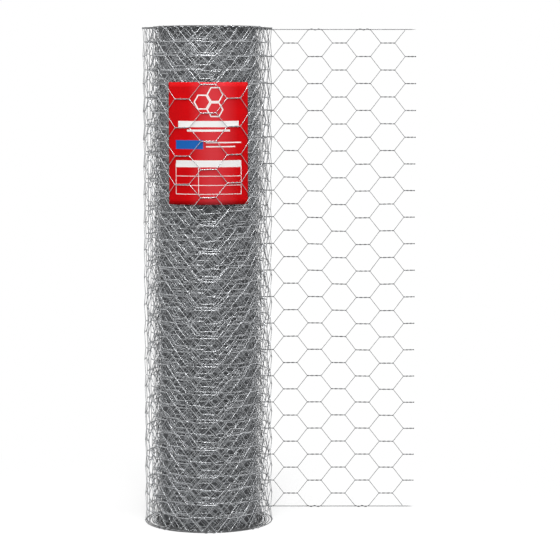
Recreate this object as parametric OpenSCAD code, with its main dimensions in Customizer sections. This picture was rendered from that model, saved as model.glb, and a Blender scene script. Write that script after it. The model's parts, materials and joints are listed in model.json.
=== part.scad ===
// Roll of hexagonal wire netting that stands on its end. The outer end of the netting is drawn
// off flat from the back of the roll, and a printed card lies under the outermost turn.
// The origin is on the roll's axis, at its lower end. +Z runs up the axis, the drawn-off end
// runs along +X, and the card faces -Y. Lengths are in millimetres.

/* [Netting] */
// Width of the netting, which is the height of the standing roll
netting_width = 1500; // [900:10:2000]
// Number of mesh rows across the width
mesh_rows = 18; // [10:1:24]
// Length of a twisted side of a mesh
twist_length = 42; // [30:1:55]
// Run of a slanted side of a mesh, along the netting
slant_run = 33; // [20:1:45]
// Diameter of the mesh wire
wire_d = 2; // [1.4:0.05:2.6]
// Diameter of each edge wire
selvedge_d = 2.6; // [2.4:0.1:3.6]

/* [Roll] */
// Outside diameter of the roll
roll_d = 390; // [370:1:460]
// Diameter of the open bore along the axis
bore_d = 90; // [60:1:120]
// Number of loose turns round the outside
loose_turns = 4; // [2:1:6]
// Gap between neighbouring loose turns
loose_gap = 5.5; // [4:0.5:8]
// Gap between neighbouring tight turns
tight_gap = 1.2; // [0.8:0.1:3]
// Depth to which the loose turns stand apart at each end
loose_gap_depth = 30; // [12:1:60]
// Depth to which the tight turns stand apart at each end
tight_gap_depth = 10; // [4:1:20]

/* [Drawn-off end] */
// Number of mesh columns in the drawn-off end
end_columns = 8; // [4:2:10]
// Length of the twists left at the cut edge
cut_twist = 38; // [20:1:42]
// Clearance where a piece lies against the roll
seat_gap = 0.15; // [0.05:0.05:0.3]

/* [Card] */
// Width of the card, measured round its curved face
card_width = 250; // [150:1:280]
// Height of the card
card_height = 358; // [200:1:420]
// Thickness of the card
card_thickness = 0.6; // [0.4:0.1:1]
// Distance from the top of the roll down to the card
card_drop = 163; // [100:1:300]
// Depth of the card's face under the outside of the roll
card_depth = 4.5; // [4:0.1:6]
// Room left round the edges of the card
card_margin = 3; // [1:0.5:6]
// Turn of the card's middle round the roll, from -Y towards the drawn-off end
card_turn = 2.8; // [0:0.1:10]

/* [Hidden] */
zinc = [0.62, 0.63, 0.64];
card_red = [0.79, 0.05, 0.07];
// Segments of a round face and sides of a single wire
round_fn = 180;
wire_fn = 8;
// How far a cut runs past the face that it opens
cut_over = 1;

roll_r = roll_d / 2;
bore_r = bore_d / 2;
row_pitch = (netting_width - selvedge_d) / mesh_rows;
column_pitch = twist_length + slant_run;
end_length = end_columns * column_pitch + cut_twist;
twist_d = 2 * wire_d;
sheet_y = roll_r + twist_d / 2 + seat_gap;

// Each turn is its inner and outer radius: tight turns from the bore out, then the loose ones
tight_pitch = selvedge_d + tight_gap;
loose_pitch = selvedge_d + loose_gap;
tight_limit = roll_r - loose_turns * loose_pitch;
tight_turns = floor((tight_limit - bore_r + tight_gap) / tight_pitch);
turns = concat(
    [for (i = [0:tight_turns - 1]) turn_from(bore_r + i * tight_pitch)],
    [for (i = [loose_turns - 1:-1:0]) turn_from(roll_r - i * loose_pitch - selvedge_d)]
);
last_turn = len(turns) - 1;

// The card's face and the floor of the space that holds it
card_r = roll_r - card_depth;
card_floor_r = card_r - card_thickness - seat_gap;
card_bottom = netting_width - card_drop - card_height;

function turn_from(inner_r) = [inner_r, inner_r + selvedge_d];

function arc_angle(length, radius) = length / radius * 180 / PI;

function gap_depth(i) = i < tight_turns - 1 ? tight_gap_depth : loose_gap_depth;

// Radius and depth along one end of the roll, from the bore out: a flat for each turn and a
// groove between neighbours
function end_steps() = [
    for (i = [0:last_turn])
        each concat(
            [[turns[i][0], 0], [turns[i][1], 0]],
            i < last_turn
                ? [[turns[i][1], gap_depth(i)], [turns[i + 1][0], gap_depth(i)]]
                : []
        )
];

// Twist columns alternate: even ones lie on whole rows and odd ones half a row up
function on_whole_rows(column) = column % 2 == 0;

function twist_heights(column) = on_whole_rows(column)
    ? [for (row = [1:mesh_rows - 1]) row * row_pitch]
    : [for (row = [0:mesh_rows - 1]) (row + 0.5) * row_pitch];

function opening_heights(column) = on_whole_rows(column)
    ? [for (row = [0:mesh_rows - 1]) (row + 0.5) * row_pitch]
    : [for (row = [0:mesh_rows]) row * row_pitch];

// Half section of the roll, with its turns at both ends
module roll_section() {
    steps = end_steps();
    lower = [for (p = steps) [p[0], p[1]]];
    upper = [for (i = [len(steps) - 1:-1:0]) [steps[i][0], netting_width - steps[i][1]]];
    polygon(concat(lower, upper));
}

// Ring sector at the card's place, from radius r0 to r1 over an arc length, standing on z
module front_sector(r0, r1, arc, z, height) {
    sweep = arc_angle(arc, card_r);
    rotate([0, 0, card_turn - 90 - sweep / 2])
        rotate_extrude(angle = sweep, $fn = round_fn)
            translate([r0, z])
                square([r1 - r0, height]);
}

module card_space() {
    front_sector(
        card_floor_r, roll_r + cut_over, card_width + 2 * card_margin,
        card_bottom - card_margin, card_height + 2 * card_margin
    );
}

// One hexagonal opening between wires, centred on the origin
module mesh_opening() {
    half_row = row_pitch / 2;
    slant = norm([slant_run, half_row]);
    top = half_row - wire_d / 2;
    tip = twist_length / 2 + slant_run - wire_d / 2 * slant / half_row;
    shoulder = tip - top * slant_run / half_row;
    polygon([
        [tip, 0], [shoulder, top], [-shoulder, top],
        [-tip, 0], [-shoulder, -top], [shoulder, -top]
    ]);
}

// Flat lattice of single wires, from the centre of one edge wire to the centre of the other
module wire_lattice() {
    difference() {
        square([end_length, netting_width - selvedge_d]);
        for (column = [0:end_columns], height = opening_heights(column))
            translate([column * column_pitch + twist_length / 2, height])
                mesh_opening();
    }
}

// Straight wire along X from the origin
module wire_bar(length, d) {
    rotate([0, 90, 0])
        cylinder(d = d, h = length, $fn = wire_fn);
}

// Twisted side of a mesh. The last column is cut short.
module twists(column) {
    length = column < end_columns ? twist_length : cut_twist;
    for (height = twist_heights(column))
        translate([column * column_pitch, 0, height])
            wire_bar(length, twist_d);
}

module wound_roll() {
    color(zinc)
        difference() {
            rotate_extrude($fn = round_fn)
                roll_section();
            card_space();
        }
}

module pulled_out_end() {
    color(zinc)
        translate([0, sheet_y, selvedge_d / 2]) {
            rotate([90, 0, 0])
                linear_extrude(height = wire_d, center = true)
                    wire_lattice();
            for (column = [0:end_columns])
                twists(column);
            for (height = [0, netting_width - selvedge_d])
                translate([0, 0, height])
                    wire_bar(end_length, selvedge_d);
        }
}

module label_card() {
    color(card_red)
        front_sector(card_r - card_thickness, card_r, card_width, card_bottom, card_height);
}

wound_roll();
pulled_out_end();
label_card();
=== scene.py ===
import json
import math

import bpy
import numpy as np
from mathutils import Euler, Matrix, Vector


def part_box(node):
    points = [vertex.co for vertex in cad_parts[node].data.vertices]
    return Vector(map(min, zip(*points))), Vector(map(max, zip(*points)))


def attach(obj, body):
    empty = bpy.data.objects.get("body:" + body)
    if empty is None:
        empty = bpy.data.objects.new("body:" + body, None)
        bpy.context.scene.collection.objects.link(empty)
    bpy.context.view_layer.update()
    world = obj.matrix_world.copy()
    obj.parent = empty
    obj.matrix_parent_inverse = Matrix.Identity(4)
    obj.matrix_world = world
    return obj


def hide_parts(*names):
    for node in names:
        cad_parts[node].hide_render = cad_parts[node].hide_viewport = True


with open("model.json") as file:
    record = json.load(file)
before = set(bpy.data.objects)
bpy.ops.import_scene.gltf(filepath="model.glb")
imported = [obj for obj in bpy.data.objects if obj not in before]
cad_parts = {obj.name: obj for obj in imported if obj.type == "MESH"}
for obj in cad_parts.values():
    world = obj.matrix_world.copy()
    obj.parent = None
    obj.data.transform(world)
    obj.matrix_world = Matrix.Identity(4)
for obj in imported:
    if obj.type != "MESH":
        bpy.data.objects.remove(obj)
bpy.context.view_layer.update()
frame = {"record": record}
ROLL_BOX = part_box("wound_roll")
END_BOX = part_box("pulled_out_end")
CARD_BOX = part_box("label_card")

bl_info = {
    "name": "Wire netting roll",
    "version": (1, 0, 0),
    "blender": (4, 5, 0),
    "location": "View3D > Sidebar > Netting",
    "description": "Dresses a standing roll of hexagonal wire netting and its printed card",
    "category": "Add Mesh",
}

BODY = "root"
PRINT_MAP = "print"
MM_PER_M = 1000
CARD_RADIUS = -CARD_BOX[0].y
CARD_RIGHT = math.asin(CARD_BOX[1].x / CARD_RADIUS)
CARD_LEFT = math.asin(CARD_BOX[0].x / CARD_RADIUS)
CARD_TURN = (CARD_RIGHT + CARD_LEFT) / 2
BORE_RADIUS = frame["record"]["mounts"][0]["dims"]["r_mm"] / MM_PER_M

# Turns by which the netting has come in from the sheet's plane, and to which it then keeps outside
COMES_IN = 0.1
KEEPS_OUT = 0.7
# Depth of the netting under the roll's outside at both, in wires
OUTER_DEPTHS = (1, 1.1)
# Share of their pitch by which the outer loose turns have eased outwards
EASED = 0.25
# Share of a row by which each turn lies higher than the one outside it
GOLDEN_SHARE = (math.sqrt(5) - 1) / 2
# Share of the settling that the turns between the nested ones take
BETWEEN_SETTLED = 0.25
# Heights over which the meshes are held level at the floor and at the top
FLOOR_HOLD = 0.08
TOP_HOLD = 0.2
# Turns at which the outermost turn's stray changes, and the share of the slack there and further in
STRAY_MARKS = (0, 0.2, 0.9, 1.1)
STRAY_SHARES = (0, 0.1, 0.1, 1, 0.8, 0.25)
# Waves: phase for each unit round or along, phase for each metre of height, start and share
STRAY_WAVES = ((1.73, 5.1, 0.4, 1.0), (2.61, -7.7, 1.9, 1.0), (4.37, 13.0, 0.0, 0.6))
ALONG_WAVES = ((9.1, 6.3, 0.0, 1.0), (4.3, -11.7, 1.3, 1.0))
ACROSS_WAVES = ((7.3, 0.0, 1.1, 1.0), (15.7, 4.9, 0.0, 1.0))
# Lengths along the netting, how far its meshes drift there, and the share of that along it
SWAY_MARKS = (-1.5, -1.0, -0.3, 0)
SWAY_REACH = (0.004, 0.0022, 0.0022, 0.0012)
SWAY_ALONG = 0.75

# Sides of a wire, and steps over a twist and over the winding round an edge wire
FINE_SIDES = 5
FINE_STEPS = 9
EDGE_STEPS = 14
# Sides of a wire deep in the roll, the radius of its bars in wires, and the rows made at each end
DEEP_SIDES = 4
BAR_RADIUS = 0.9
DEEP_END_ROWS = 2.2
# Steps along the edge wires, on the drawn-off end and on the roll
FLAT_STEP = 0.02
WOUND_STEP = 0.015
# Length of a cut wire's tip, and the radii to which a mesh wire and an edge wire close
TIP_LENGTH = 0.0002
TIP_RADIUS = 0.00005
EDGE_TIP_RADIUS = 0.0001
# Distance outwards over which the netting's facing is read
FACE_STEP = 0.001


class NettingSizes(bpy.types.PropertyGroup):
    """Sizes of the netting and of its winding."""

    width: bpy.props.FloatProperty(
        name="Netting width", description="Height of the standing roll",
        default=ROLL_BOX[1].z, unit="LENGTH")
    roll_radius: bpy.props.FloatProperty(
        name="Roll radius", description="Outside of the outermost turn",
        default=ROLL_BOX[1].x, unit="LENGTH")
    bore_radius: bpy.props.FloatProperty(
        name="Bore radius", description="Inside of the innermost turn",
        default=BORE_RADIUS, unit="LENGTH")
    tight_radius: bpy.props.FloatProperty(
        name="Tight radius", description="Outside of the tightly wound turns",
        default=0.1625, unit="LENGTH")
    sheet_y: bpy.props.FloatProperty(
        name="Sheet plane", description="Plane of the drawn-off end, behind the roll's axis",
        default=(END_BOX[0].y + END_BOX[1].y) / 2, unit="LENGTH")
    end_reach: bpy.props.FloatProperty(
        name="End reach", description="Cut edge of the drawn-off end, from the roll's axis",
        default=END_BOX[1].x, unit="LENGTH")
    rows: bpy.props.IntProperty(
        name="Mesh rows", description="Meshes across the netting", default=18)
    twist_length: bpy.props.FloatProperty(
        name="Twist length", description="Twisted side of a mesh", default=0.0444, unit="LENGTH")
    first_twist: bpy.props.FloatProperty(
        name="First twist", description="Start of the first flat twist, from the roll's axis",
        default=0.0037, unit="LENGTH")
    column_pitch: bpy.props.FloatProperty(
        name="Column pitch", description="From one twist column to the next",
        default=0.075, unit="LENGTH")
    wound_pitch: bpy.props.FloatProperty(
        name="Wound pitch", description="Column pitch aimed at on the roll, where it is wound taut",
        default=0.079, unit="LENGTH")
    wire: bpy.props.FloatProperty(
        name="Mesh wire", description="Diameter of the mesh wire", default=0.002, unit="LENGTH")
    edge_wire: bpy.props.FloatProperty(
        name="Edge wire", description="Diameter of the wire along each edge",
        default=0.0024, unit="LENGTH")
    loose_turns: bpy.props.IntProperty(
        name="Loose turns", description="Slack turns round the outside", default=5)
    tight_turns: bpy.props.IntProperty(
        name="Tight turns", description="Turns wound close together", default=31)
    front: bpy.props.FloatProperty(
        name="Front",
        description="Where the twists nest, in turns from where the netting leaves the roll",
        default=0.5 + CARD_TURN / (2 * math.pi))
    nested_turns: bpy.props.IntProperty(
        name="Nested turns", description="Outer turns whose twists nest at the front", default=5)
    drawn: bpy.props.FloatProperty(
        name="Drawn", description="Share by which nested turns are drawn out or pushed together",
        default=0.05, subtype="FACTOR")
    close_turns: bpy.props.IntProperty(
        name="Close turns",
        description="Tight turns outside the packed ones, which lie in each other", default=7)
    packed_radius: bpy.props.FloatProperty(
        name="Packed radius",
        description="Radius from which the turns are packed too close to see through",
        default=0.1457, unit="LENGTH")
    uneven: bpy.props.FloatProperty(
        name="Uneven ends", description="How far the upper ends of the tight turns stand up at most",
        default=0.005, unit="LENGTH")
    slack: bpy.props.FloatProperty(
        name="Slack", description="How far a loose turn strays from round",
        default=0.0028, unit="LENGTH")


class CardSizes(bpy.types.PropertyGroup):
    """Sizes of the printed card."""

    face_radius: bpy.props.FloatProperty(
        name="Face radius", description="Radius of the card's curved face",
        default=CARD_RADIUS, unit="LENGTH")
    turn: bpy.props.FloatProperty(
        name="Turn", description="Turn of the card's middle from the front towards the drawn-off end",
        default=CARD_TURN, unit="ROTATION")
    half_angle: bpy.props.FloatProperty(
        name="Half angle", description="Half of the angle that the card takes up round the roll",
        default=(CARD_RIGHT - CARD_LEFT) / 2, unit="ROTATION")
    bottom: bpy.props.FloatProperty(
        name="Bottom", description="Height of the card's lower edge",
        default=CARD_BOX[0].z, unit="LENGTH")
    top: bpy.props.FloatProperty(
        name="Top", description="Height of the card's upper edge",
        default=CARD_BOX[1].z, unit="LENGTH")
    thickness: bpy.props.FloatProperty(
        name="Thickness", description="Thickness of the card", default=0.0006, unit="LENGTH")


class Finishes(bpy.types.PropertyGroup):
    """Colours of the finishes."""

    zinc_bright: bpy.props.FloatVectorProperty(
        name="Bright zinc", description="Lighter patches of the galvanising",
        subtype="COLOR", size=3, default=(0.425, 0.435, 0.448))
    zinc_dull: bpy.props.FloatVectorProperty(
        name="Dull zinc", description="Weathered patches of the galvanising",
        subtype="COLOR", size=3, default=(0.25, 0.256, 0.264))
    # Painted shade: the free end's zinc is cut to this share of its brightness, which darkens its wires
    free_end_painted_shade: bpy.props.FloatProperty(
        name="End shade", description="Share of its brightness that the zinc of the free end keeps",
        default=0.345, subtype="FACTOR")
    # Painted shade: the edge wires' zinc is cut to this share of its brightness, which darkens the
    # roll's rims
    edge_painted_shade: bpy.props.FloatProperty(
        name="Edge shade", description="Share of its brightness that the zinc of the edge wires keeps",
        default=0.235, subtype="FACTOR")
    packed_light: bpy.props.FloatVectorProperty(
        name="Packed light", description="Lighter grain of the packed middle",
        subtype="COLOR", size=3, default=(0.49, 0.505, 0.52))
    # Painted shade: the dark ground between the drawn wires of the packed middle
    packed_gap_shade: bpy.props.FloatVectorProperty(
        name="Packed dark", description="Darker grain of the packed middle",
        subtype="COLOR", size=3, default=(0.10, 0.103, 0.108))
    card_red: bpy.props.FloatVectorProperty(
        name="Card red", description="Ground colour of the card",
        subtype="COLOR", size=3, default=(0.55, 0.003, 0.005))
    # Painted sheen: the paler red of an upright band on the card
    card_painted_sheen: bpy.props.FloatVectorProperty(
        name="Pale red", description="Lighter upright band in the card's ground",
        subtype="COLOR", size=3, default=(0.56, 0.04, 0.05))
    card_blue: bpy.props.FloatVectorProperty(
        name="Card blue", description="Box on the card",
        subtype="COLOR", size=3, default=(0.012, 0.10, 0.36))
    card_white: bpy.props.FloatVectorProperty(
        name="Card white", description="White ink on the card",
        subtype="COLOR", size=3, default=(0.74, 0.73, 0.72))


class StageSettings(bpy.types.PropertyGroup):
    """Camera and light."""

    camera_place: bpy.props.FloatVectorProperty(
        name="Camera place", description="Where the camera stands",
        subtype="TRANSLATION", size=3, default=(0.2176, -6.4, 1.3703))
    camera_pitch: bpy.props.FloatProperty(
        name="Camera pitch", description="How far the camera looks down",
        default=math.radians(5.632), unit="ROTATION")
    lens: bpy.props.FloatProperty(
        name="Lens", description="Focal length in millimetres", default=136.48)
    floor_size: bpy.props.FloatProperty(
        name="Floor size", description="Side of the floor", default=24.0, unit="LENGTH")


# Winding


def turn_radius(sizes, turn):
    """Radius of the netting after a number of turns from where it leaves the roll, inwards: it runs
    along straight lines between a few marks, from the sheet's plane to the bore. The outer loose
    turns have eased outwards."""
    outer = sizes.roll_radius
    slack_pitch = (outer - sizes.tight_radius) / sizes.loose_turns
    slack_turns = np.arange(1, sizes.loose_turns)
    eased = slack_turns - EASED * np.linspace(1, 0, len(slack_turns))
    tight_marks = sizes.loose_turns + np.array([0, sizes.close_turns, sizes.tight_turns])
    marks = [0, COMES_IN, KEEPS_OUT, *slack_turns, *tight_marks]
    radii = [
        sizes.sheet_y, *(outer - sizes.wire * np.array(OUTER_DEPTHS)),
        *(outer - slack_pitch * eased),
        sizes.tight_radius, sizes.packed_radius, sizes.bore_radius + sizes.wire,
    ]
    return np.interp(turn, marks, radii)


def waves(parts, first, second):
    """Sum of sine waves over two measures. Each part gives a wave's phase for a unit of either
    measure, its start and its share."""
    return sum(share * np.sin(one * first + two * second + start) for one, two, start, share in parts)


class Winding:
    """Carries points of the flat netting onto the drawn-off end and the wound turns."""

    steps_per_turn = 720

    def __init__(self, sizes):
        """Sums the length of the spiral r(turn) over small steps, so that a length along the
        netting gives the turn that it lies on."""
        self.sizes = sizes
        total = sizes.loose_turns + sizes.tight_turns
        self.turn = np.linspace(0, total, total * self.steps_per_turn + 1)
        radius = turn_radius(sizes, self.turn)
        swept = 2 * math.pi * np.diff(self.turn) * (radius[1:] + radius[:-1]) / 2
        self.length = np.concatenate([[0], np.cumsum(np.hypot(swept, np.diff(radius)))])
        self.nest(total)

    def nest(self, total):
        """Fits columns into each outer turn, so that at the front of the roll the twists of every
        other turn nest in each other, and those of the turns between lie half a column aside. Such
        a turn takes a number of columns near to the wound pitch, by turns drawn out or pushed
        together, and the others take what their length holds. From turn to turn the rows lie a
        golden share of a row higher: an odd number of columns gives half a row, and the rest is
        settled, of which the turns between take only a part. The tight turns also take that share of
        the uneven ends."""
        sizes = self.sizes
        fronts = np.arange(total) + sizes.front
        length = np.interp(fronts, self.turn, self.length)
        middle = (sizes.first_twist + sizes.twist_length / 2) / sizes.column_pitch
        first = round(length[0] / sizes.wound_pitch) - middle
        counts = np.diff(length) / sizes.wound_pitch
        share = GOLDEN_SHARE * np.arange(total) % 1
        half_rows = np.round(2 * share)
        between = np.arange(total) % 2
        nested = sizes.nested_turns
        odd = (np.abs(np.diff(half_rows % 2)) + np.diff(between) / 2)[:nested]
        turn = np.arange(nested)
        stretch = np.where(turn > 0, 1 - sizes.drawn * np.cos(math.pi * turn), 1)
        counts[:nested] = 2 * np.round((counts[:nested] * stretch - odd) / 2) + odd
        columns = first + np.concatenate([[0], np.cumsum(counts)])
        self.column_mark = np.concatenate([[0], columns, [columns[-1] + 1]]) * sizes.column_pitch
        self.length_mark = np.concatenate([[0], length, [length[-1] + sizes.wound_pitch]])
        settled = (share - half_rows / 2) * np.where(between, BETWEEN_SETTLED, 1)
        self.settle_mark = np.concatenate([[0], settled, [0]]) * mesh_rows(sizes)[2]
        inner = np.arange(total) >= sizes.loose_turns
        self.uneven_mark = np.concatenate([[0], np.where(inner, share, 0), [0]])

    def settle(self, s, z):
        """Height by which the meshes of a turn settle between those of its neighbours: up to a quarter
        of a row at the front of each turn, straight between the fronts, and none at the edges. The
        lower edges stand on the floor, and towards the top the tight turns stand up by an uneven
        share, so that their upper ends aren't quite level."""
        free = np.clip(np.minimum(z / FLOOR_HOLD, (self.sizes.width - z) / TOP_HOLD), 0, 1)
        settled = np.interp(-s, self.column_mark, self.settle_mark)
        uneven = self.sizes.uneven * np.interp(-s, self.column_mark, self.uneven_mark)
        return free * settled + uneven * z / self.sizes.width

    def stray(self, turn, z):
        """Distance of a turn from its round: three waves round the roll and up it, widest on the
        slack turns and least on the outermost one, where it lies over the card."""
        sizes = self.sizes
        marks = [*STRAY_MARKS, sizes.loose_turns, sizes.loose_turns + 1]
        most = sizes.slack * np.interp(turn, marks, STRAY_SHARES)
        height = sum(share for *_, share in STRAY_WAVES)
        return most * waves(STRAY_WAVES, 2 * math.pi * turn, z) / height

    def place(self, s, z, lift):
        """Point at length s along the netting, height z and distance lift outwards. Positive s is
        the flat end, where x is s. Negative s is wound: its angle starts at the back of the roll
        and grows by a full turn for each turn of the spiral."""
        turn = np.interp(np.interp(-s, self.column_mark, self.length_mark), self.length, self.turn)
        angle = math.pi / 2 + 2 * math.pi * turn
        radius = turn_radius(self.sizes, turn) + self.stray(turn, z) + lift
        flat = s > 0
        x = np.where(flat, s, radius * np.cos(angle))
        y = np.where(flat, self.sizes.sheet_y + lift, radius * np.sin(angle))
        return np.stack([x, y, z], axis=-1)


# Wires


def mesh_rows(sizes):
    """Height of each edge wire's axis and the pitch of the rows between them."""
    inset = sizes.edge_wire / 2 + sizes.wire
    return inset, sizes.width - inset, (sizes.width - 2 * inset) / sizes.rows


def twist_grid(sizes, columns):
    """Columns and heights of all twists in a range of columns. Even columns lie on whole rows,
    without the two edges, and odd ones half a row up."""
    low, _, pitch = mesh_rows(sizes)
    whole = low + pitch * np.arange(1, sizes.rows)
    half = low + pitch * (np.arange(sizes.rows) + 0.5)
    found = [np.meshgrid([c], whole if c % 2 == 0 else half) for c in columns]
    return (np.concatenate([np.ravel(part) for part in grid]) for grid in zip(*found))


def sway(s, z, sizes):
    """Drift of the meshes along and across the netting: sums of slow waves, still at the edges, and
    wider where the netting is wound."""
    hold = np.sin(math.pi * np.clip(z / sizes.width, 0, 1))
    reach = np.interp(s, SWAY_MARKS, SWAY_REACH)
    along = SWAY_ALONG * reach * hold * waves(ALONG_WAVES, s, z)
    return s + along, z + reach * hold * waves(ACROSS_WAVES, s, z)


def twist_start(sizes, column):
    """Length along the netting at which the twists of a column start."""
    return sizes.first_twist + column * sizes.column_pitch


def with_slants(sizes, start, run, from_z, to_z):
    """Puts the slants round each run over a twist: the point that the slant before it comes from, the
    one where the slant after it ends, and one beyond, which gives the direction there."""
    slant = sizes.column_pitch - sizes.twist_length
    before = np.stack([start - slant, from_z, 0 * start], axis=-1)
    after = np.stack([start + sizes.column_pitch, to_z, 0 * start], axis=-1)
    beyond = after + [sizes.twist_length / (run.shape[1] - 1), 0, 0]
    return np.concatenate([before[:, None], run, after[:, None], beyond[:, None]], axis=1)


def twisted_strands(sizes, columns, side):
    """Paths of one wire of each twisted pair, as (s, z, lift) with a point before and after. Over
    the twist the wire turns one and a half times about the pair's axis, at half a wire from it,
    and then it runs straight to the pair half a row down (side 1) or up (side -1)."""
    low, high, pitch = mesh_rows(sizes)
    column, axis = twist_grid(sizes, columns)
    start = twist_start(sizes, column)
    reach = sizes.wire / 2
    edge_reach = (sizes.edge_wire + sizes.wire) / 2

    def pair_reach(z):
        """Distance from the axis of a pair at a height, or of an edge wire at either edge."""
        at_edge = (z < low + pitch / 4) | (z > high - pitch / 4)
        return np.where(at_edge, edge_reach, reach)

    share = np.linspace(0, 1, FINE_STEPS + 1)
    phase = 3 * math.pi * share
    s = start[:, None] + sizes.twist_length * share
    z = axis[:, None] + side * reach * np.cos(phase)
    lift = np.broadcast_to(side * reach * np.sin(phase), s.shape)
    from_axis, to_axis = axis + side * pitch / 2, axis - side * pitch / 2
    from_z = from_axis - side * pair_reach(from_axis)
    to_z = to_axis + side * pair_reach(to_axis)
    return with_slants(sizes, start, np.stack([s, z, lift], axis=-1), from_z, to_z)


def edge_strands(sizes, columns, side):
    """Paths of the outermost wires where they wind twice round an edge wire, as (s, z, lift): the
    lower edge for side 1 and the upper one for side -1. Then they run to the pair half a row in."""
    low, high, pitch = mesh_rows(sizes)
    axis = low if side > 0 else high
    start = twist_start(sizes, np.array([c for c in columns if c % 2 == 0]))
    reach = (sizes.edge_wire + sizes.wire) / 2
    share = np.linspace(0, 1, EDGE_STEPS + 1)
    phase = 4 * math.pi * share
    s = start[:, None] + sizes.twist_length * share
    z = np.broadcast_to(axis + side * reach * np.cos(phase), s.shape)
    lift = np.broadcast_to(reach * np.sin(phase), s.shape)
    inner = np.full(start.shape, axis + side * (pitch / 2 - sizes.wire / 2))
    return with_slants(sizes, start, np.stack([s, z, lift], axis=-1), inner, inner)


def round_quads(here, there):
    """Faces between closed rings of point numbers: a point, the next one round its ring, and the two
    at the same places on the ring beyond."""
    corners = [here, np.roll(here, -1, -1), np.roll(there, -1, -1), there]
    return np.stack(corners, axis=-1).reshape(-1, 4)


def tubes(winding, paths, radius, sides):
    """Tubes along paths of (s, z, lift): at each point a ring stands across the mean of the two
    runs that meet there, turned to the netting's face, and neighbouring rings are joined. The
    first and last points only give direction. radius is one value or one for each ring."""
    s, z = sway(paths[..., 0], paths[..., 1], winding.sizes)
    z = z + winding.settle(s, z)
    lift = paths[..., 2]
    line = winding.place(s, z, lift)
    face = winding.place(s, z, lift + FACE_STEP) - line
    runs = np.diff(line, axis=1)
    runs /= np.linalg.norm(runs, axis=-1, keepdims=True)
    along = runs[:, 1:] + runs[:, :-1]
    along /= np.linalg.norm(along, axis=-1, keepdims=True)
    line, face = line[:, 1:-1], face[:, 1:-1]
    across = np.cross(along, face)
    across /= np.linalg.norm(across, axis=-1, keepdims=True)
    out = np.cross(across, along)
    turn = 2 * math.pi * np.arange(sides) / sides
    ring = np.cos(turn)[:, None] * out[..., None, :] + np.sin(turn)[:, None] * across[..., None, :]
    width = np.broadcast_to(radius, line.shape[:2])
    points = line[:, :, None] + width[:, :, None, None] * ring
    count, rings = line.shape[:2]
    index = np.arange(count * rings * sides).reshape(count, rings, sides)
    return points.reshape(-1, 3), round_quads(index[:, :-1], index[:, 1:])


def joined(parts):
    """Puts several (points, faces) into one, with the face numbers moved along."""
    starts = np.cumsum([0] + [len(points) for points, _ in parts[:-1]])
    points = np.concatenate([points for points, _ in parts])
    faces = np.concatenate([faces + first for (_, faces), first in zip(parts, starts)])
    return points, faces


def add_piece(name, shape, material, node):
    """Makes a smooth mesh piece of (points, faces) that rides on the part's one body and stands for
    a CAD node."""
    points, faces = shape
    mesh = bpy.data.meshes.new(name)
    mesh.from_pydata(points, [], faces)
    mesh.update()
    mesh.shade_smooth()
    mesh.materials.append(material)
    piece = bpy.data.objects.new(name, mesh)
    bpy.context.scene.collection.objects.link(piece)
    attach(piece, BODY)
    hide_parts(node)
    return piece


def add_print_map(piece, corners):
    """Gives each face corner its place on the flat print, in the faces' own order."""
    layer = piece.data.uv_layers.new(name=PRINT_MAP)
    layer.data.foreach_set("uv", np.ascontiguousarray(corners, dtype=np.float32).ravel())


def netting(winding, columns):
    """All mesh wires of a range of columns: both wires of each pair and the outermost wires."""
    sizes = winding.sizes
    return joined([
        tubes(winding, strands(sizes, columns, side), sizes.wire / 2, FINE_SIDES)
        for strands in (twisted_strands, edge_strands) for side in (1, -1)
    ])


def plain_netting(winding, columns, end_rows):
    """Mesh wires of turns that lie deeper in the roll, without their twist: a straight bar for each
    twisted pair, and from the bar's end a straight wire half a row up and another half a row
    down. Only the given number of rows next to each end is made."""
    sizes = winding.sizes
    low, high, pitch = mesh_rows(sizes)
    column, axis = twist_grid(sizes, columns)
    shown = np.minimum(axis - low, high - axis) < end_rows * pitch
    column, axis = column[shown], axis[shown]
    start = twist_start(sizes, column)
    slant = sizes.column_pitch - sizes.twist_length
    runs = [(0, sizes.twist_length, 0, BAR_RADIUS * sizes.wire)]
    runs += [(sizes.twist_length, slant, side * pitch / 2, sizes.wire / 2) for side in (1, -1)]
    share = np.array([-0.1, 0, 1, 1.1])
    parts = []
    for offset, length, rise, radius in runs:
        first = np.stack([start + offset, axis, 0 * axis], axis=-1)
        paths = first[:, None] + share[:, None] * np.array([length, rise, 0])
        parts.append(tubes(winding, paths, radius, DEEP_SIDES))
    return joined(parts)


def cut_column(winding, column):
    """The last column, cut off square: each wire of a pair ends at the cut in a closed tip."""
    sizes = winding.sizes
    start = twist_start(sizes, column)
    radius = np.append(np.full(FINE_STEPS + 1, sizes.wire / 2), TIP_RADIUS)
    parts = []
    for side in (1, -1):
        paths = twisted_strands(sizes, [column], side)[:, :FINE_STEPS + 2]
        paths[:, 1:, 0] = start + np.linspace(0, sizes.end_reach - start, FINE_STEPS + 1)
        tip = paths[:, -1:] + [TIP_LENGTH, 0, 0]
        beyond = tip + [TIP_LENGTH, 0, 0]
        paths = np.concatenate([paths, tip, beyond], axis=1)
        parts.append(tubes(winding, paths, radius, FINE_SIDES))
    return joined(parts)


def edge_wires(winding, start, end, step):
    """The two edge wires between two lengths along the netting: a ring at each step, and a tip at
    either end."""
    sizes = winding.sizes
    s = np.arange(start, end + step, step).clip(start, end)
    radius = np.full(len(s), sizes.edge_wire / 2)
    radius[[0, -1]] = EDGE_TIP_RADIUS
    s = np.concatenate([[start - step], s, [end + step]])
    edges = mesh_rows(sizes)[:2]
    paths = np.stack([np.stack([s, np.full(s.shape, z), 0 * s], axis=-1) for z in edges])
    return tubes(winding, paths, radius, FINE_SIDES)


# Finishes


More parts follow.
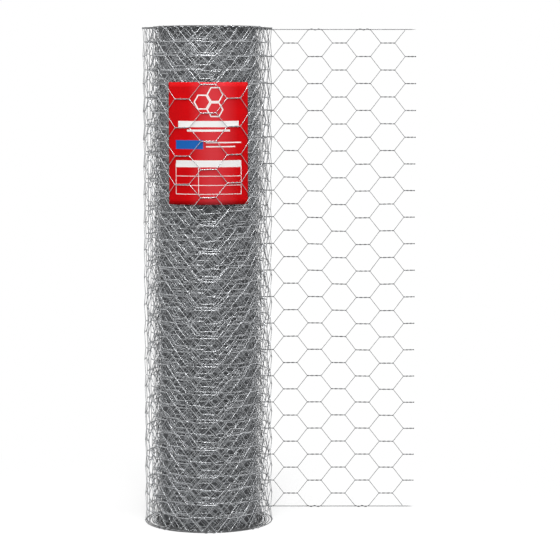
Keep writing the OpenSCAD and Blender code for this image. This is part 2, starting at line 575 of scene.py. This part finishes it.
class FinishNodes:
    """Makes and links the nodes of one finish."""

    def __init__(self, tree):
        self.nodes, self.links = tree.nodes, tree.links

    def feed(self, socket, value):
        """Links a socket to this one, or sets its number or colour."""
        if isinstance(value, bpy.types.NodeSocket):
            self.links.new(value, socket)
        else:
            socket.default_value = value

    def node(self, kind, **inputs):
        """A new node with its named inputs fed."""
        node = self.nodes.new("ShaderNode" + kind)
        for name, value in inputs.items():
            self.feed(node.inputs[name], value)
        return node

    def math(self, kind, *values):
        """Result of one sum over its values."""
        node = self.node("Math")
        node.operation = kind
        for socket, value in zip(node.inputs, values):
            self.feed(socket, value)
        return node.outputs[0]

    def span(self, value, low, high, to_low, to_high):
        """Carries low..high onto to_low..to_high and holds it there outside."""
        node = self.node("MapRange")
        for socket, number in zip(node.inputs, (value, low, high, to_low, to_high)):
            self.feed(socket, number)
        return node.outputs[0]

    def largest(self, values):
        """The largest of several values."""
        total = values[0]
        for value in values[1:]:
            total = self.math("MAXIMUM", total, value)
        return total

    def place(self):
        """Place on the piece, in metres."""
        return self.node("TexCoord").outputs["Object"]

    def print_place(self):
        """Place on the flat print, as shares of its width and height."""
        flat = self.node("UVMap")
        flat.uv_map = PRINT_MAP
        split = self.node("SeparateXYZ", Vector=flat.outputs["UV"])
        return split.outputs[0], split.outputs[1]

    def noise(self, scale, detail=2):
        """Cloudy noise, finer with a larger scale."""
        node = self.node("TexNoise", Vector=self.place(), Scale=scale, Detail=detail)
        return node.outputs["Fac"]

    def seen_directly(self):
        """1 for what the camera, a reflection or a see-through surface shows, and 0 for stray light."""
        paths = self.node("LightPath")
        kinds = ("Is Camera Ray", "Is Glossy Ray", "Is Transmission Ray")
        return self.largest([paths.outputs[kind] for kind in kinds])

    def box(self, x, y, centre, half):
        """1 inside an upright rectangle and 0 outside."""
        measures = zip((x, y), centre, half)
        return self.math("MULTIPLY", *[self.math("COMPARE", *measure) for measure in measures])

    def hexagon(self, x, y, centre, reach, line):
        """Outline of a hexagon with level top and bottom: the larger of the distances to its level
        and slanting sides, where it is near to reach."""
        dx = self.math("ABSOLUTE", self.math("SUBTRACT", x, centre[0]))
        dy = self.math("ABSOLUTE", self.math("SUBTRACT", y, centre[1]))
        slanting = self.math("MULTIPLY_ADD", dx, math.cos(math.pi / 6), self.math("MULTIPLY", dy, 0.5))
        return self.math("COMPARE", self.math("MAXIMUM", dy, slanting), reach, line / 2)

    def tint(self, share, below, above):
        """Lays one colour over another by a share."""
        node = self.node("Mix")
        node.data_type = "RGBA"
        self.feed(node.inputs[0], share)
        self.feed(node.inputs[6], below)
        self.feed(node.inputs[7], above)
        return node.outputs[2]

    def ramp(self, share, *marks):
        """Colour that runs from one mark to the other. A mark is a share and its colour."""
        node = self.node("ValToRGB", Fac=share)
        for element, (place, colour) in zip(node.color_ramp.elements, marks):
            element.position = place
            element.color = (*colour, 1)
        return node.outputs["Color"]

    def bump(self, shader, height, strength, distance):
        """Raises the surface by a height."""
        node = self.node("Bump", Strength=strength, Distance=distance, Height=height)
        self.feed(shader.inputs["Normal"], node.outputs["Normal"])


def new_material(name):
    """A new material, the maker of its nodes and its shader."""
    material = bpy.data.materials.new(name)
    material.use_nodes = True
    finish = FinishNodes(material.node_tree)
    return material, finish, finish.nodes["Principled BSDF"]


# Scales of the zinc's clouds, crystals and lumps, and the share of the crystals in its tone
CLOUDS, CRYSTALS, LUMPS = 38, 420, 900
CRYSTAL_SHARE = 0.2
# Roughness of dull and bright zinc, fresh and on the darker copy used for the free end and the edge
# wires
FRESH_ROUGH = (0.28, 0.23)
WORN_ROUGH = (0.55, 0.42)


def galvanised_zinc(finishes, wear=None):
    """Zinc on wire: broad clouds of bright and weathered metal, a fine crystal break-up, and a slightly
    lumpy dipped skin. On the free end and the edge wires a darker, rougher copy of it paints shade: its
    colour is cut to a share of its brightness."""
    name = f"{wear} zinc" if wear else "galvanised zinc"
    if name in bpy.data.materials:
        return bpy.data.materials[name]
    shade_factor = getattr(finishes, wear) if wear else 1.0
    dull = [shade_factor * part for part in finishes.zinc_dull]
    bright = [shade_factor * part for part in finishes.zinc_bright]
    material, finish, shader = new_material(name)
    crystals = finish.node("TexVoronoi", Vector=finish.place(), Scale=CRYSTALS)
    mixed = finish.node("Mix")
    finish.feed(mixed.inputs[0], CRYSTAL_SHARE)
    finish.feed(mixed.inputs[2], finish.noise(CLOUDS))
    finish.feed(mixed.inputs[3], crystals.outputs["Distance"])
    tone = mixed.outputs[0]
    finish.feed(shader.inputs["Base Color"], finish.ramp(tone, (0.3, dull), (0.7, bright)))
    rough = finish.span(tone, 0, 1, *(WORN_ROUGH if wear else FRESH_ROUGH))
    finish.feed(shader.inputs["Roughness"], rough)
    finish.bump(shader, finish.noise(LUMPS), strength=0.05, distance=0.0002)
    shader.inputs["Metallic"].default_value = 1.0
    return material


# Turns drawn on the packed middle: columns in a turn, shift in columns, sag in rows, tone, which is
# lower further down the list as painted shade of deeper turns
PACKED_TURNS = (
    (12, 1.00, 0.02, 1.00),
    (12, 0.06, 0.13, 0.95),
    (12, 1.21, -0.09, 0.85),
    (12, 0.63, 0.27, 0.75),
    (10, 0.45, 0.21, 0.70),
    (10, 1.56, -0.17, 0.65),
    (10, 1.10, 0.40, 0.55),
    (14, 1.65, 0.33, 0.55),
    (14, 0.36, -0.29, 0.45),
    (14, 1.02, 0.08, 0.45),
)
# Shares of a twist and of a wire that the packed middle shows, and its soft edge in such shares
PACKED_TWIST = 0.3
PACKED_WIRE = 0.36
PACKED_EDGE = 2.2
# Scale of the packed middle's grain, and the shares of the grain and of the wires in its tone
PACKED_GRAIN = 300
GRAIN_SHARE = 0.25
DRAWN_SHARE = 0.85


def packed_zinc(finishes, sizes):
    """Zinc wires behind each other, closer than they can be told apart. Round a turn the wire keeps to
    its row over a twist and climbs half a row over a slant, and back, so each turn's wires are where
    the height, folded into half a row, meets that course, folded into one column. The drawn wires lie
    on a dark ground that paints the shade between them, and the deeper drawn turns are dimmer, also
    painted shade."""
    material, finish, shader = new_material("packed zinc")
    around, up = finish.print_place()
    half_twist = PACKED_TWIST * sizes.twist_length / sizes.column_pitch
    thick = PACKED_WIRE * sizes.wire / (sizes.width / sizes.rows)
    wires = []
    for count, shift, sag, tone in PACKED_TURNS:
        across = finish.math("PINGPONG", finish.math("MULTIPLY_ADD", around, count, shift), 1.0)
        row = finish.math("PINGPONG", finish.math("MULTIPLY_ADD", up, sizes.rows, sag), 0.5)
        course = finish.span(across, half_twist, 1 - half_twist, 0.0, 0.5)
        off = finish.math("ABSOLUTE", finish.math("SUBTRACT", row, course))
        # Each drawn turn is as bright as its tone, dimmer for deeper turns: painted shade
        wires.append(finish.span(off, thick, PACKED_EDGE * thick, tone, 0.0))
    drawn = finish.largest(wires)
    shown = finish.math("MULTIPLY", drawn, DRAWN_SHARE)
    share = finish.math("MULTIPLY_ADD", finish.noise(PACKED_GRAIN), GRAIN_SHARE, shown)
    # The ground between the drawn wires is dark: painted shade
    tone = finish.ramp(share, (0.08, finishes.packed_gap_shade), (0.95, finishes.packed_light))
    finish.feed(shader.inputs["Base Color"], tone)
    finish.bump(shader, drawn, strength=0.5, distance=0.001)
    shader.inputs["Roughness"].default_value = 0.8
    shader.inputs["Metallic"].default_value = 1.0
    return material


def printed_card(finishes, width, height):
    """Red printed board with three white meshes, white bars, a blue box and an empty table, all
    measured in millimetres from the middle of the lower edge. The red is paler in an upright band, a
    painted sheen, and the ink is slightly uneven."""
    material, finish, shader = new_material("printed card")
    across, up = finish.print_place()
    x = finish.math("MULTIPLY_ADD", across, width, -width / 2)
    y = finish.math("MULTIPLY", up, height)
    meshes = ((-19, 300), (19, 322), (19, 278))
    white = [
        *[finish.hexagon(x, y, centre, reach=20, line=3.5) for centre in meshes],
        finish.box(x, y, (0, 236), (92, 9)),
        finish.box(x, y, (0, 217), (64, 3)),
        finish.box(x, y, (46, 182), (54, 1.8)),
        finish.box(x, y, (36, 170), (44, 1.8)),
        finish.box(x, y, (0, 120), (100, 10)),
        *[finish.box(x, y, (0, level), (100, 0.9)) for level in (31, 57, 84)],
        *[finish.box(x, y, (side, 75), (0.9, 45)) for side in (-100, -30, 100)],
    ]
    blue = finish.box(x, y, (-58, 176), (42, 13))
    # Painted sheen: the red turns paler towards an upright band 15 mm right of the middle
    from_sheen = finish.math("ABSOLUTE", finish.math("SUBTRACT", x, 15))
    ink = finish.noise(26, detail=6)
    thin_ink = [0.86 * part for part in finishes.card_red]
    red = finish.ramp(ink, (0.3, thin_ink), (0.7, finishes.card_red))
    colour = finish.tint(finish.span(from_sheen, 10, 75, 0.8, 0.0), red, (*finishes.card_painted_sheen, 1))
    colour = finish.tint(blue, colour, (*finishes.card_blue, 1))
    colour = finish.tint(finish.largest(white), colour, (*finishes.card_white, 1))
    finish.feed(shader.inputs["Base Color"], colour)
    finish.feed(shader.inputs["Roughness"], finish.span(ink, 0.3, 0.7, 0.5, 0.36))
    shader.inputs["Specular IOR Level"].default_value = 0.05
    return material


def grey_board():
    """Unprinted back and edge of the card: grey pulp with fine fibres."""
    material, finish, shader = new_material("grey board")
    tone = finish.ramp(finish.noise(500), (0.3, (0.36, 0.33, 0.29)), (0.7, (0.55, 0.52, 0.47)))
    finish.feed(shader.inputs["Base Color"], tone)
    shader.inputs["Roughness"].default_value = 0.85
    return material


# Operators


def last_column(sizes):
    """The column at the cut edge: the last one that starts within the end's reach."""
    return int(sizes.end_reach // sizes.column_pitch)


def column_at_turn(winding, turn):
    """The column that lies nearest to a number of turns into the roll. It is counted below zero."""
    length = np.interp(turn, winding.turn, winding.length)
    flat = np.interp(length, winding.length_mark, winding.column_mark)
    return -int(flat // winding.sizes.column_pitch)


class NETTING_OT_pulled_out_end(bpy.types.Operator):
    """Make the flat end of the netting that is drawn off the roll"""

    bl_idname = "netting.pulled_out_end"
    bl_label = "Pulled-out end"

    def execute(self, context):
        sizes = context.scene.netting_sizes
        winding = Winding(sizes)
        last = last_column(sizes)
        wires = joined([
            netting(winding, range(0, last)),
            cut_column(winding, last),
            edge_wires(winding, 0, sizes.end_reach, FLAT_STEP),
        ])
        # The free end's zinc is a darker copy, painted shade
        zinc = galvanised_zinc(context.scene.netting_finishes, "free_end_painted_shade")
        add_piece("pulled_out_end_wires", wires, zinc, "pulled_out_end")
        return {"FINISHED"}


class NETTING_OT_loose_turns(bpy.types.Operator):
    """Make the slack turns round the outside of the roll"""

    bl_idname = "netting.loose_turns"
    bl_label = "Loose turns"

    def execute(self, context):
        sizes = context.scene.netting_sizes
        winding = Winding(sizes)
        zinc = galvanised_zinc(context.scene.netting_finishes)
        first = column_at_turn(winding, sizes.loose_turns)
        middle = first // 2
        wires = {
            "loose_turns_outer_wires": netting(winding, range(middle, 0)),
            "loose_turns_inner_wires": netting(winding, range(first, middle)),
        }
        for name, shape in wires.items():
            add_piece(name, shape, zinc, "wound_roll")
        return {"FINISHED"}


class NETTING_OT_tight_turns(bpy.types.Operator):
    """Make the tightly wound turns, with twisted wires outside and plain ones deeper in"""

    bl_idname = "netting.tight_turns"
    bl_label = "Tight turns"

    def execute(self, context):
        sizes = context.scene.netting_sizes
        winding = Winding(sizes)
        zinc = galvanised_zinc(context.scene.netting_finishes)
        outer = column_at_turn(winding, sizes.loose_turns)
        plain = column_at_turn(winding, sizes.loose_turns + sizes.close_turns / 2)
        deep = column_at_turn(winding, sizes.loose_turns + sizes.close_turns)
        inner = column_at_turn(winding, sizes.loose_turns + sizes.tight_turns - 0.5)
        wires = {
            "tight_turns_wires": netting(winding, range(plain, outer)),
            "plain_turns_wires": plain_netting(winding, range(deep, plain), sizes.rows),
            "deep_turns_wires": plain_netting(winding, range(inner, deep), DEEP_END_ROWS),
        }
        for name, shape in wires.items():
            add_piece(name, shape, zinc, "wound_roll")
        return {"FINISHED"}


class NETTING_OT_packed_turns(bpy.types.Operator):
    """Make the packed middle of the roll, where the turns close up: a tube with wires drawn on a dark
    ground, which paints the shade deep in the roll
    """

    bl_idname = "netting.packed_turns"
    bl_label = "Packed turns"

    # Faces round and up
    around = 240
    up = 120
    # Height of the pressed waves and their number round the roll
    wave_height = 0.0008
    waves_around = 12

    def execute(self, context):
        """A tube whose radius carries the waves of pressed meshes: two slanting waves that cross."""
        sizes = context.scene.netting_sizes
        low, high, pitch = mesh_rows(sizes)
        angle, z = np.meshgrid(
            2 * math.pi * np.arange(self.around) / self.around, np.linspace(low, high, self.up + 1))
        column, row = self.waves_around * angle, 2 * math.pi * z / pitch
        pressed = self.wave_height * (np.sin(column + row) + np.sin(column - row))
        radius = sizes.packed_radius - sizes.wire + pressed
        points = np.stack([radius * np.cos(angle), radius * np.sin(angle), z], axis=-1)
        index = np.arange(angle.size).reshape(angle.shape)
        shape = points.reshape(-1, 3), round_quads(index[:-1], index[1:])
        material = packed_zinc(context.scene.netting_finishes, sizes)
        piece = add_piece("packed_inner_turns", shape, material, "wound_roll")
        here = np.stack([angle[:-1] / (2 * math.pi), (z[:-1] - low) / (high - low)], axis=-1)
        step = np.array([1 / self.around, 1 / self.up])
        corners = np.array([[0, 0], [1, 0], [1, 1], [0, 1]]) * step
        add_print_map(piece, (here.reshape(-1, 1, 2) + corners).reshape(-1, 2))
        return {"FINISHED"}


class NETTING_OT_edge_wires(bpy.types.Operator):
    """Make the edge wires of the wound turns"""

    bl_idname = "netting.edge_wires"
    bl_label = "Edge wires"

    def execute(self, context):
        sizes = context.scene.netting_sizes
        winding = Winding(sizes)
        start = -winding.column_mark[-2]
        wires = edge_wires(winding, start, 0, WOUND_STEP)
        # The edge wires' zinc is a darker copy, painted shade
        zinc = galvanised_zinc(context.scene.netting_finishes, "edge_painted_shade")
        add_piece("wound_edge_wires", wires, zinc, "wound_roll")
        return {"FINISHED"}


class NETTING_OT_label_card(bpy.types.Operator):
    """Make the printed card under the outermost turn"""

    bl_idname = "netting.label_card"
    bl_label = "Label card"

    # Faces across and up
    across = 48
    up = 24

    def execute(self, context):
        """Two grids on arcs about the roll's axis, the face and a thickness behind it, whose rims are
        joined. The face has the print, and the rest is bare board."""
        size = context.scene.netting_card
        u, v = np.meshgrid(np.linspace(-1, 1, self.across + 1), np.linspace(0, 1, self.up + 1))
        angle = size.turn + u * size.half_angle
        z = size.bottom + v * (size.top - size.bottom)
        layers = []
        for radius in (size.face_radius, size.face_radius - size.thickness):
            layers.append(np.stack([radius * np.sin(angle), -radius * np.cos(angle), z], axis=-1))
        points = np.concatenate([layer.reshape(-1, 3) for layer in layers])
        index = np.arange(u.size).reshape(u.shape)
        corners = [index[:-1, :-1], index[:-1, 1:], index[1:, 1:], index[1:, :-1]]
        front = np.stack(corners, axis=-1).reshape(-1, 4)
        back = front[:, ::-1] + u.size
        rim = np.concatenate([index[0, :-1], index[:-1, -1], index[-1, :0:-1], index[:0:-1, 0]])
        following = np.roll(rim, -1)
        sides = np.stack([rim, rim + u.size, following + u.size, following], axis=-1)
        faces = np.concatenate([front, back, sides])
        finishes = context.scene.netting_finishes
        width = 2 * MM_PER_M * size.half_angle * size.face_radius
        height = MM_PER_M * (size.top - size.bottom)
        printed = printed_card(finishes, width, height)
        piece = add_piece("label_card_board", (points, faces), printed, "label_card")
        piece.data.materials.append(grey_board())
        unprinted = np.arange(len(faces)) >= len(front)
        piece.data.polygons.foreach_set("material_index", unprinted.astype(np.int32))
        flat = np.stack([(u + 1) / 2, v], axis=-1).reshape(-1, 2)
        add_print_map(piece, np.tile(flat, (2, 1))[faces.ravel()])
        return {"FINISHED"}


class NETTING_OT_stage(bpy.types.Operator):
    """Make the floor, the lamps and the camera"""

    bl_idname = "netting.stage"
    bl_label = "Stage"

    # Each lamp's name, place, size and power, and the height at the roll's axis that all face
    lamps = (
        ("key", (0.06, -3.0, 2.0), (0.6, 1.0), 47),
        ("middle", (0.0, -2.6, 2.9), (0.6, 0.9), 29),
        ("top", (0.12, -2.0, 4.0), (0.9, 0.9), 26),
        ("crown", (0.06, -0.9, 4.4), (0.9, 0.9), 55),
        ("left", (-3.0, -0.6, 3.2), (2.4, 2.4), 66),
        ("right", (3.0, -0.6, 3.2), (2.4, 2.4), 66),
    )
    lamp_aim = 0.7
    # Glow of the floor round the roll, and the distances over which it turns to plain white
    near_glow = 0.72
    near, far = 0.35, 1.3
    # Strength of the stray light from all sides
    stray_light = 0.06

    def execute(self, context):
        settings = context.scene.netting_stage
        context.scene.view_settings.view_transform = "Standard"
        self.camera(context, settings)
        self.floor(context, settings)
        self.world(context)
        for lamp in self.lamps:
            self.lamp(context, *lamp)
        return {"FINISHED"}

    def camera(self, context, settings):
        """A camera that looks along +Y and down by its pitch."""
        data = bpy.data.cameras.new("camera")
        data.lens = settings.lens
        camera = bpy.data.objects.new("camera", data)
        camera.location = settings.camera_place
        camera.rotation_euler = Euler((math.pi / 2 - settings.camera_pitch, 0, 0))
        context.scene.collection.objects.link(camera)
        context.scene.camera = camera

    def floor(self, context, settings):
        """A flat square. Round the roll it takes the shadow, and further off it is plain white."""
        half = settings.floor_size / 2
        mesh = bpy.data.meshes.new("floor")
        corners = [(-half, -half, 0), (half, -half, 0), (half, half, 0), (-half, half, 0)]
        mesh.from_pydata(corners, [], [(0, 1, 2, 3)])
        material, finish, shader = new_material("pale floor")
        shader.inputs["Base Color"].default_value = (0.3, 0.3, 0.3, 1)
        shader.inputs["Roughness"].default_value = 0.9
        shader.inputs["Specular IOR Level"].default_value = 0.0
        shader.inputs["Emission Color"].default_value = (1, 1, 1, 1)
        seen = finish.seen_directly()
        finish.feed(shader.inputs["Emission Strength"], finish.span(seen, 0, 1, 0, self.near_glow))
        white = finish.node("Emission", Strength=seen)
        reach = finish.node("VectorMath")
        reach.operation = "LENGTH"
        finish.feed(reach.inputs[0], finish.place())
        away = finish.node("MapRange", Value=reach.outputs["Value"])
        away.interpolation_type = "SMOOTHSTEP"
        away.inputs["From Min"].default_value = self.near
        away.inputs["From Max"].default_value = self.far
        mixed = finish.node("MixShader", Fac=away.outputs["Result"])
        finish.feed(mixed.inputs[1], shader.outputs[0])
        finish.feed(mixed.inputs[2], white.outputs[0])
        finish.feed(finish.nodes["Material Output"].inputs["Surface"], mixed.outputs[0])
        mesh.materials.append(material)
        floor = bpy.data.objects.new("floor", mesh)
        context.scene.collection.objects.link(floor)

    def world(self, context):
        """White where it is seen directly, and a weak even light elsewhere."""
        world = bpy.data.worlds.new("studio")
        context.scene.world = world
        world.use_nodes = True
        finish = FinishNodes(world.node_tree)
        background = finish.nodes["Background"]
        background.inputs["Color"].default_value = (1, 1, 1, 1)
        level = finish.span(finish.seen_directly(), 0, 1, self.stray_light, 1)
        finish.feed(background.inputs["Strength"], level)

    def lamp(self, context, name, place, size, power):
        """An area lamp that faces the middle of the roll."""
        data = bpy.data.lights.new(name, "AREA")
        data.shape = "RECTANGLE"
        data.size, data.size_y = size
        data.energy = power
        lamp = bpy.data.objects.new(name, data)
        lamp.location = place
        direction = np.subtract((0, 0, self.lamp_aim), place)
        lamp.rotation_euler = Euler((
            math.acos(-direction[2] / np.linalg.norm(direction)), 0,
            math.atan2(direction[1], direction[0]) - math.pi / 2))
        context.scene.collection.objects.link(lamp)


class NETTING_PT_sidebar(bpy.types.Panel):
    """Lists the pieces of the netting roll"""

    bl_idname = "NETTING_PT_sidebar"
    bl_label = "Wire netting roll"
    bl_space_type = "VIEW_3D"
    bl_region_type = "UI"
    bl_category = "Netting"

    def draw(self, context):
        for operator in OPERATORS:
            self.layout.operator(operator.bl_idname)
        for group in GROUPS:
            settings = getattr(context.scene, group)
            for name in settings.bl_rna.properties.keys():
                if name not in ("rna_type", "name"):
                    self.layout.prop(settings, name)


OPERATORS = (
    NETTING_OT_stage,
    NETTING_OT_pulled_out_end,
    NETTING_OT_loose_turns,
    NETTING_OT_tight_turns,
    NETTING_OT_packed_turns,
    NETTING_OT_edge_wires,
    NETTING_OT_label_card,
)
GROUPS = {
    "netting_sizes": NettingSizes,
    "netting_card": CardSizes,
    "netting_finishes": Finishes,
    "netting_stage": StageSettings,
}


def register():
    """Makes the settings and operators known to Blender."""
    for cls in (*GROUPS.values(), *OPERATORS, NETTING_PT_sidebar):
        bpy.utils.register_class(cls)
    for name, group in GROUPS.items():
        setattr(bpy.types.Scene, name, bpy.props.PointerProperty(type=group))


def unregister():
    """Takes them out again."""
    for name in GROUPS:
        delattr(bpy.types.Scene, name)
    for cls in (NETTING_PT_sidebar, *reversed(OPERATORS), *GROUPS.values()):
        bpy.utils.unregister_class(cls)


def main():
    """Registers the add-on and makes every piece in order."""
    register()
    bpy.ops.netting.stage()
    bpy.ops.netting.pulled_out_end()
    bpy.ops.netting.loose_turns()
    bpy.ops.netting.tight_turns()
    bpy.ops.netting.packed_turns()
    bpy.ops.netting.edge_wires()
    bpy.ops.netting.label_card()


if __name__ == "__main__":
    main()
